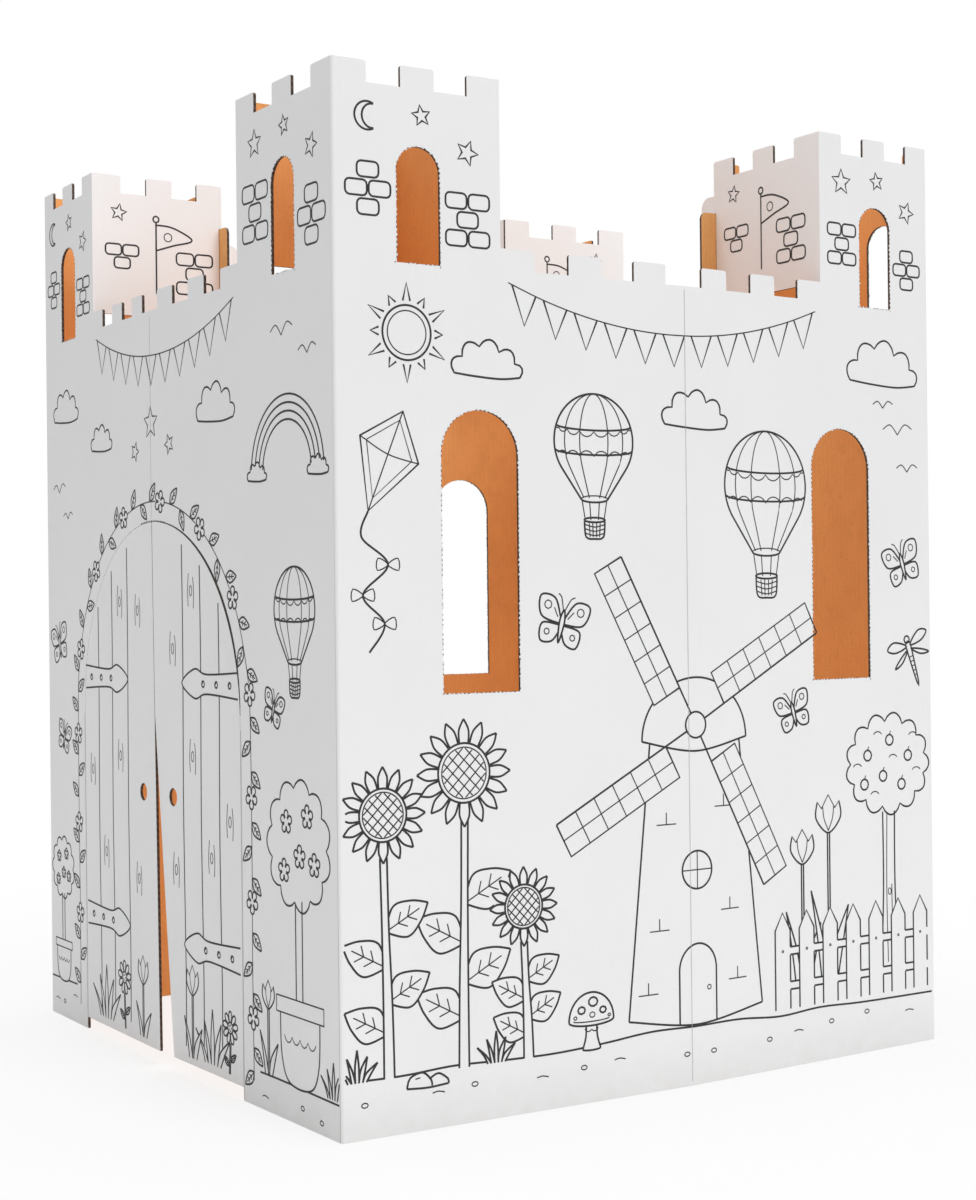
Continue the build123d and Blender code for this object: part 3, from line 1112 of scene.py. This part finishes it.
def topiary(s, u, v, w):
    """A clipped ball tree in a round pot."""
    at = turned(u, v, w)
    for side in (-1, 1):
        s.straight(at(side * 0.05, 0.60), at(side * 0.05, 1.35))
    side = ((-0.30, 0.50), (-0.28, 0.18), (-0.16, 0))
    pot = smooth([at(x, y) for x, y in side] + [at(-x, y) for x, y in side[::-1]])
    pot_and_rim(s, pot, [at(-0.36, 0.50), at(0.36, 0.50), at(0.36, 0.62), at(-0.36, 0.62)])
    ball = around(*at(0, 1.75), 0.42 * w, 0.42 * w, 360, 0, count=11)[:-1]
    s.cover(ball)
    s.scallops(ball, 0.36)
    for x, y in ((-0.18, 1.91), (0.14, 1.97), (0.02, 1.67), (-0.22, 1.55), (0.24, 1.63)):
        petals(s, *at(x, y), 0.030 * w, 0.085 * w, 5, 18)
    s.scallops([at(-0.24 + 0.12 * n, 0.34) for n in range(5)], -0.4, FINE, closed=False)


def garland(s, points, leaf):
    """A stem with leaves on both sides in turn and a small blossom now and then."""
    line = smooth(points, False)
    s.draw(line, FINE, flowing=False)
    run = 0.0
    count = 0
    for a, b in zip(line[:-1], line[1:]):
        run += math.dist(a, b)
        if run < 0.95 * leaf:
            continue
        run = 0.0
        count += 1
        heading = math.degrees(math.atan2(b[1] - a[1], b[0] - a[0]))
        if count % 4 == 0:
            petals(s, *b, 0.12 * leaf, 0.48 * leaf, 5, heading)
        else:
            leaf_shape(s, *b, leaf, heading + (52 if count % 2 else -52), 0.40)


def rainbow(s, u, v, r):
    for k in range(4):
        s.arc(u, v, r * (1 - 0.11 * k), r * (1 - 0.11 * k), 4, 176)
    cloud(s, u - 0.84 * r, v - 0.02 * r, 0.52 * r)
    cloud(s, u + 0.84 * r, v - 0.02 * r, 0.52 * r)


def tower_face(s, edges, middle, order):
    """Stones, a crescent and stars round a tower's window."""
    low, high = edges
    near = middle - TOWER_WINDOW / 2 - low
    far = high - middle - TOWER_WINDOW / 2
    bricks(s, low + near / 2, 0.862, 1.22 * near, (1, 2, 1) if order else (2, 1, 2))
    bricks(s, high - far / 2, 0.842, 1.22 * far, (2, 1, 2) if order else (1, 2, 1))
    if order:
        moon(s, low + near / 2, 0.928, 0.013)
    else:
        star(s, low + near / 2, 0.928, 0.014)
    star(s, high - far / 2, 0.905, 0.012, 70)
    star(s, middle + 0.004, 0.934, 0.010, 100)


print("castle: bricks, flag, fence, topiary, garland, rainbow, tower face")

# %% [markdown]
# The near side: a mill in the middle of a garden, a fence with a tree behind it, and a sky of balloons
# under a string of pennants.

# %% Right wall picture
right = Sketch()
ground(right, -0.366, 0.366, 0.056, 4 * MM, 4)
bunting(right, (-0.186, 0.787), (0.201, 0.787), 0.038, 11)
sun_disc(right, -0.296, 0.733, 0.046)
cloud(right, -0.210, 0.706, 0.072)
cloud(right, 0.300, 0.728, 0.098)
cloud(right, 0.034, 0.668, 0.078)
balloon(right, -0.090, 0.640, 0.046)
balloon(right, 0.128, 0.602, 0.056)
tail = [(-0.345, 0.545), (-0.318, 0.520), (-0.344, 0.492), (-0.322, 0.466), (-0.338, 0.440)]
kite(right, -0.318, 0.618, 0.074, -22, tail)
bird(right, 0.322, 0.662, 0.044)
bird(right, 0.336, 0.622, 0.032)
bird(right, 0.300, 0.690, 0.030)
butterfly(right, 0.328, 0.520, 0.054, 18)
butterfly(right, -0.130, 0.462, 0.058, -14)
butterfly(right, 0.164, 0.366, 0.048, 16)
windmill(right, 0.030, 0.072, 0.238)
sunflower(right, -0.240, 0.326, 0.048, 0.052, -0.003)
sunflower(right, -0.326, 0.292, 0.042, 0.052, 0.004)
sunflower(right, -0.176, 0.196, 0.036, 0.052, 0.004)
mushroom(right, -0.100, 0.052, 0.052, 0.85)
stones(right, -0.282, 0.040, 0.044)
tuft(right, -0.208, 0.052, 0.030)
tuft(right, -0.355, 0.052, 0.030)
tree(right, 0.302, 0.082, 0.128, 0.283)
tulip(right, 0.174, 0.226, 0.040, 0.080, 0.000)
tulip(right, 0.212, 0.258, 0.044, 0.080, 0.000)
fence(right, 0.128, 0.366, 0.060, 0.100)
dragonfly(right, 0.340, 0.420, 0.058, 20)
tower_face(right, (-0.364, -0.200), -0.2825, True)
tower_face(right, (0.215, 0.364), 0.290, False)
right.lay("print_right_wall", CHARTS["right_wall"], "castle")

# %% [markdown]
# The door wall: a flowering stem follows the arch, and the leaves are drawn as planks with iron straps.
# Each leaf's picture rides on its leaf, so it turns with the door.

# %% Door wall picture
front = Sketch()
ground(front, -0.358, -0.274, 0.044, 1.5 * MM, 5)
ground(front, 0.204, 0.358, 0.034, 1.5 * MM, 6)
bunting(front, (-0.194, 0.787), (0.163, 0.787), 0.036, 10)
stem = [(-0.263, 0.024), (-0.262, 0.130), (-0.263, 0.250), (-0.262, 0.370)]
stem += around(DOOR_CREASE, DOOR_SPRING, DOOR_RADIUS + 22 * MM, DOOR_RADIUS + 22 * MM, 168, 12, count=9)
stem += [(0.190, 0.370), (0.191, 0.250), (0.190, 0.130), (0.191, 0.024)]
garland(front, stem, 0.024)
cloud(front, -0.294, 0.712, 0.076)
cloud(front, 0.120, 0.680, 0.080)
cloud(front, -0.180, 0.668, 0.060)
rainbow(front, 0.270, 0.610, 0.072)
bird(front, 0.262, 0.738, 0.044)
bird(front, 0.312, 0.716, 0.034)
bird(front, -0.318, 0.620, 0.040)
bird(front, -0.290, 0.588, 0.030)
star(front, -0.036, 0.680, 0.018)
star(front, -0.080, 0.652, 0.011, 70)
star(front, 0.010, 0.654, 0.011, 110)
balloon(front, 0.282, 0.480, 0.040)
butterfly(front, -0.322, 0.440, 0.052, 14)
butterfly(front, -0.310, 0.330, 0.042, -16)
butterfly(front, 0.238, 0.384, 0.040, -18)
topiary(front, 0.285, 0.036, 0.128)
topiary(front, -0.318, 0.044, 0.076)
tulip(front, 0.222, 0.112, 0.030, 0.036, 0.0)
tuft(front, 0.348, 0.036, 0.034)
tower_face(front, (0.178, 0.356), 0.267, False)
tower_face(front, (-0.356, -0.208), -0.282, True)
front.lay("print_door_wall", CHARTS["front_wall"], "castle")


def planks(s, hinge, inward, lines, straps):
    """Plank lines that stop under the arch, and straps with studs from the hinge side."""
    for x in lines:
        top = DOOR_SPRING + math.sqrt(DOOR_RADIUS**2 - (x - DOOR_CREASE) ** 2) - 12 * MM
        wave = ((0, 0.030), (1.2, 0.2 * top), (-1.0, 0.5 * top), (0.8, 0.8 * top), (0, top))
        s.draw([(x + aside * MM, height) for aside, height in wave])
    for z in straps:
        upper = ((0, 0.013), (0.070, 0.010), (0.098, 0.015))
        outline = [(x, y) for x, y in upper] + [(0.128, 0)] + [(x, -y) for x, y in upper[::-1]]
        s.solid(smooth([(hinge + inward * x, z + y) for x, y in outline]))
        for n in range(3):
            stud = (hinge + inward * (0.018 + 0.030 * n), z)
            s.ring(*stud, 3.2 * MM)
            s.arc(*stud, 1.6 * MM, 1.6 * MM, 90, 200, FINE)


def grain(s, spots):
    """Knots and short grain marks between the plank lines."""
    for x, z in spots:
        s.ring(x, z, 3.0 * MM, 5.5 * MM, FINE)
        s.draw([(x - 6 * MM, z - 0.016), (x - 7 * MM, z), (x - 5 * MM, z + 0.018)], FINE)
        s.draw([(x + 6 * MM, z - 0.018), (x + 7 * MM, z), (x + 5 * MM, z + 0.014)], FINE)


left_leaf = Sketch()
planks(left_leaf, -0.236, 1, (-0.196, -0.154, -0.108), (0.135, 0.405))
knots = [(-0.216, 0.300), (-0.176, 0.210), (-0.131, 0.320), (-0.080, 0.190), (-0.078, 0.480), (-0.130, 0.490)]
grain(left_leaf, knots)
tuft(left_leaf, -0.180, 0.022, 0.060)
daisy(left_leaf, -0.126, 0.076, 0.018, 0.020, 0.002)
tulip(left_leaf, -0.072, 0.092, 0.034, 0.020, 0.0)
left_leaf.lay("print_left_leaf", CHARTS["front_wall"], "left_door")

right_leaf = Sketch()
planks(right_leaf, 0.164, -1, (0.122, 0.080, 0.038), (0.135, 0.405))
knots = [(0.144, 0.270), (0.102, 0.230), (0.060, 0.330), (0.014, 0.440), (0.059, 0.500), (0.018, 0.210)]
grain(right_leaf, knots)
tuft(right_leaf, 0.100, 0.022, 0.056)
tulip(right_leaf, 0.054, 0.100, 0.034, 0.020, 0.0)
daisy(right_leaf, 0.140, 0.066, 0.016, 0.020, -0.002)
right_leaf.lay("print_right_leaf", CHARTS["front_wall"], "right_door")

# %% [markdown]
# The towers' inner flaps carry a flag, some stones and a star, in a different order on each.

# %% Flap pictures
for number, (tower, (side_x, side_y, width_x, width_y)) in enumerate(TOWERS.items()):
    for wall, width in (("x", width_y), ("y", width_x)):
        picture = Sketch()
        order = 1 if (number + (wall == "x")) % 2 else -1
        flag(picture, order * 0.012 - 0.016, 0.846, 0.082)
        bricks(picture, order * 0.044, 0.872, 0.070, (2, 1, 2))
        bricks(picture, -order * 0.046, 0.886, 0.062, (1, 2))
        star(picture, -order * 0.050, 0.936, 0.010, 80)
        name = f"{tower}_flap_{wall}"
        picture.lay("print_" + name, CHARTS[name], "castle")

# %% [markdown]
# The two walls on the far side get gardens of their own, so the castle can be seen from all round.

# %% Left wall picture
left = Sketch()
ground(left, -0.366, 0.366, 0.058, 4 * MM, 9)
bunting(left, (-0.179, 0.787), (0.208, 0.787), 0.038, 11)
rainbow(left, -0.010, 0.560, 0.140)
sun_disc(left, 0.305, 0.728, 0.046)
cloud(left, -0.305, 0.728, 0.090)
cloud(left, 0.205, 0.712, 0.070)
balloon(left, -0.322, 0.600, 0.036)
bird(left, 0.330, 0.632, 0.040)
bird(left, 0.316, 0.596, 0.030)
butterfly(left, 0.324, 0.500, 0.056, 15)
butterfly(left, -0.140, 0.430, 0.050, -16)
dragonfly(left, 0.140, 0.440, 0.070, 12)
tree(left, 0.010, 0.066, 0.250, 0.430)
topiary(left, -0.292, 0.060, 0.130)
tulip(left, -0.215, 0.150, 0.044, 0.060, 0.004)
sunflower(left, -0.168, 0.226, 0.036, 0.058, 0.004)
flower_pot(left, 0.232, 0.120, 0.130)
tulip(left, 0.320, 0.250, 0.046, 0.080, 0.0)
fence(left, 0.128, 0.366, 0.062, 0.100)
mushroom(left, -0.095, 0.058, 0.060, 0.8)
mushroom(left, 0.092, 0.058, 0.052, 0.8)
tower_face(left, (-0.364, -0.191), -0.278, True)
tower_face(left, (0.219, 0.364), 0.292, False)
left.lay("print_left_wall", CHARTS["left_wall"], "castle")

# %% Rear wall picture
rear = Sketch()
bunting(rear, (-0.188, 0.787), (0.190, 0.787), 0.038, 11)
ground(rear, -0.357, 0.357, 0.058, 4 * MM, 10)
hill = [(-0.350, 0.180), (-0.270, 0.215), (-0.180, 0.230), (-0.060, 0.210), (0.040, 0.150), (0.100, 0.112)]
rear.draw(hill)
windmill(rear, -0.200, 0.230, 0.210)
balloon(rear, 0.130, 0.600, 0.100)
sun_disc(rear, -0.012, 0.690, 0.044)
cloud(rear, -0.300, 0.712, 0.086)
cloud(rear, -0.120, 0.665, 0.080)
cloud(rear, 0.300, 0.715, 0.086)
bird(rear, 0.292, 0.610, 0.044)
bird(rear, 0.322, 0.575, 0.034)
kite(rear, 0.300, 0.480, 0.080, 20, [(0.330, 0.400), (0.306, 0.376), (0.328, 0.350)])
tree(rear, 0.235, 0.064, 0.190, 0.270)
flower_pot(rear, 0.040, 0.190, 0.120)
rear.draw([(-0.020, 0.188), (0.040, 0.184), (0.100, 0.188)])
sunflower(rear, -0.110, 0.148, 0.030, 0.062, 0.002)
mushroom(rear, -0.215, 0.060, 0.090, 0.8)
mushroom(rear, -0.300, 0.058, 0.064, 0.8)
butterfly(rear, -0.020, 0.470, 0.060, 15)
butterfly(rear, 0.060, 0.400, 0.044, -18)
stones(rear, -0.160, 0.054, 0.050)
tuft(rear, 0.128, 0.062, 0.046)
daisy(rear, 0.075, 0.110, 0.018, 0.062, 0.002)
daisy(rear, 0.325, 0.118, 0.020, 0.062, 0.002)
tower_face(rear, (-0.356, -0.199), -0.293, False)
tower_face(rear, (0.203, 0.356), 0.2945, True)
rear.lay("print_rear_wall", CHARTS["rear_wall"], "castle")

# %% [markdown]
# ## Perforations and creases
#
# The windows and the door's arch are cut on a perforated line: when the waste is pushed out, small torn
# nibs stay, about 5 mm apart. Between them, short near-black dashes are painted shadow in the cut, and on the
# right half of the door's arch a tapered dark line is painted shadow where the leaf stands back from the
# wall. The folds are pressed creases; their thin grey lines on the coating are painted shade in the crease.

# %% Perforations
TOOTH = 4.6 * MM


# Painted shadow: the near-black of the perforation dashes and of the door arch's dark line is the shade
# inside the cut.
def painted_cut_shadow():
    paint = Paint("painted_cut_shadow")
    spot = paint.place()[0]
    fuzz = paint.noise(spot, 1500.0, 2.0)
    colour = paint.blend(fuzz, (0.012, 0.010, 0.009, 1), (0.085, 0.060, 0.045, 1))
    return paint.finish(colour, 0.9)


# Painted shade: the grey of a fold is the shade in its pressed groove.
def painted_crease_shade():
    paint = Paint("painted_crease_shade")
    spot = paint.place()[0]
    patchy = paint.noise(spot, 120.0, 3.0)
    colour = paint.blend(patchy, (0.60, 0.60, 0.60, 1), (0.78, 0.78, 0.78, 1))
    return paint.finish(colour, 0.7)


CUT_SHADOW = painted_cut_shadow()
CREASE = painted_crease_shade()


def window_line(middle, width, foot, top):
    """The outline of an arched window, from the sill's left end and back to it."""
    radius = width / 2
    arch = around(middle, top - radius, radius, radius, 180, 0, count=24)
    return [(middle - radius, foot)] + arch + [(middle + radius, foot), (middle - radius, foot)]


def perforate(nibs, nick_shadows, line, seed):
    """White nibs that reach into the opening, which lies to the right of the line, and short dark dashes of
    painted shadow in the cut between them.
    """
    dice = random.Random(seed)
    left_over = TOOTH / 2
    for a, b in zip(line[:-1], line[1:]):
        span = math.dist(a, b)
        du = (b[0] - a[0]) / span
        dv = (b[1] - a[1]) / span
        while left_over < span:
            x = a[0] + du * left_over
            y = a[1] + dv * left_over
            if dice.random() < 0.7:
                reach = dice.uniform(0.0, 1.1) * MM
                foot = (x - dv * 0.7 * MM, y + du * 0.7 * MM)
                nibs.straight(foot, (x + dv * reach, y - du * reach), nib=dice.uniform(0.7, 1.2) * MM)
            # A short dark dash between nibs: painted shadow in the cut.
            if dice.random() < 0.75:
                x += du * TOOTH / 2
                y += dv * TOOTH / 2
                long = dice.uniform(0.4, 0.9) * MM
                nick_shadows.straight((x - du * long, y - dv * long), (x + du * long, y + dv * long), nib=0.42 * MM)
            left_over += TOOTH
        left_over -= span


TOWER_SILL = LOW_TOP - 22 * MM
TOWER_ARCH = TOWER_SILL + 108 * MM
REAR_SHIFT = 15 * MM
BIG_TALL = 265 * MM
RIGHT_ARCH = LOW_TOP - 154 * MM
LEFT_ARCH = LOW_TOP - 166 * MM
# Each wall: its two towers in reading order, half its length, how far its tower windows stand off the
# towers' middles, the insets of its two large windows from the corners, and the top of their arches.
WALLS = (
    ("right_wall", "front_right", "rear_right", HALF_Y, 0, (152 * MM, 136 * MM), RIGHT_ARCH),
    ("left_wall", "rear_left", "front_left", HALF_Y, 0, (152 * MM, 130 * MM), LEFT_ARCH),
    ("front_wall", "front_left", "front_right", HALF_X, 0, (), 0),
    ("rear_wall", "rear_right", "rear_left", HALF_X, REAR_SHIFT, (), 0),
)
for wall, first, last, half, shift, insets, arch in WALLS:
    width = 3 if half == HALF_Y else 2
    nibs = Sketch()
    nick_shadows = Sketch()
    for middle in (-half + TOWERS[first][width] / 2 - shift, half - TOWERS[last][width] / 2 + shift):
        line = window_line(middle, TOWER_WINDOW, TOWER_SILL, TOWER_ARCH)
        perforate(nibs, nick_shadows, line, round(1000 * middle))
    if insets:
        for middle in (-half + insets[0], half - insets[1]):
            line = window_line(middle, BIG_WINDOW, arch - BIG_TALL, arch)
            perforate(nibs, nick_shadows, line, round(900 * middle))
    nibs.lay("torn_nibs_" + wall, CHARTS[wall], "castle", WHITE)
    nick_shadows.lay("nick_shadow_strokes_" + wall, CHARTS[wall], "castle", CUT_SHADOW)

DOOR_EDGE = DOOR_RADIUS + 0.4 * MM
ARCH_NIB = 0.7 * MM
DARK_DASHES_FROM = 98
SHADOW_FROM = 88
SHADOW_SPAN = 86
SHADOW_STEPS = 40


def arch_cut(start, end, half):
    """A stroke of painted shadow along the arch's cut, on the outside of its edge, between two angles."""
    cut.arc(DOOR_CREASE, DOOR_SPRING, DOOR_EDGE + half, DOOR_EDGE + half, start, end, half)


# Painted shadow along the door's arch: short dark dashes in the cut near its crown, then a tapered dark line
# down the right half, where the leaf stands back from the wall.
cut = Sketch()
dash = math.degrees(TOOTH / DOOR_RADIUS)
for n in range(14):
    arch_cut(DARK_DASHES_FROM - dash * n, DARK_DASHES_FROM - dash * (n + 0.6), ARCH_NIB)
turn = SHADOW_SPAN / SHADOW_STEPS
for n in range(SHADOW_STEPS):
    fat = math.sin(math.pi * ((n + 0.5) / SHADOW_STEPS) ** 1.7)
    arch_cut(SHADOW_FROM - turn * n, SHADOW_FROM - turn * (n + 1.1), (0.35 + 1.6 * fat) * MM)
cut.lay("arch_cut_painted_shadow", CHARTS["front_wall"], "castle", CUT_SHADOW)

# Painted shade along the creases: the door's two hinge folds and the fold above its crown, then the upright
# crease of each side wall.
fold_shades = Sketch()
for side in (-1, 1):
    x = DOOR_CREASE + side * (DOOR_EDGE + 1.0 * MM)
    fold_shades.straight(*[(x, 0.002 + 0.04 * n) for n in range(10)], nib=0.8 * MM)
crown = DOOR_SPRING + DOOR_RADIUS + 4 * MM
fold_shades.straight(*[(DOOR_CREASE, crown + 0.024 * n) for n in range(10)], nib=0.5 * MM)
fold_shades.lay("door_fold_shade", CHARTS["front_wall"], "castle", CREASE)
for wall in ("right_wall", "left_wall"):
    fold_shades = Sketch()
    crease = CHARTS[wall].crease
    fold_shades.straight(*[(crease, 0.004 + 0.066 * n) for n in range(13)], nib=0.5 * MM)
    fold_shades.lay("fold_shade_on_" + wall, CHARTS[wall], "castle", CREASE)
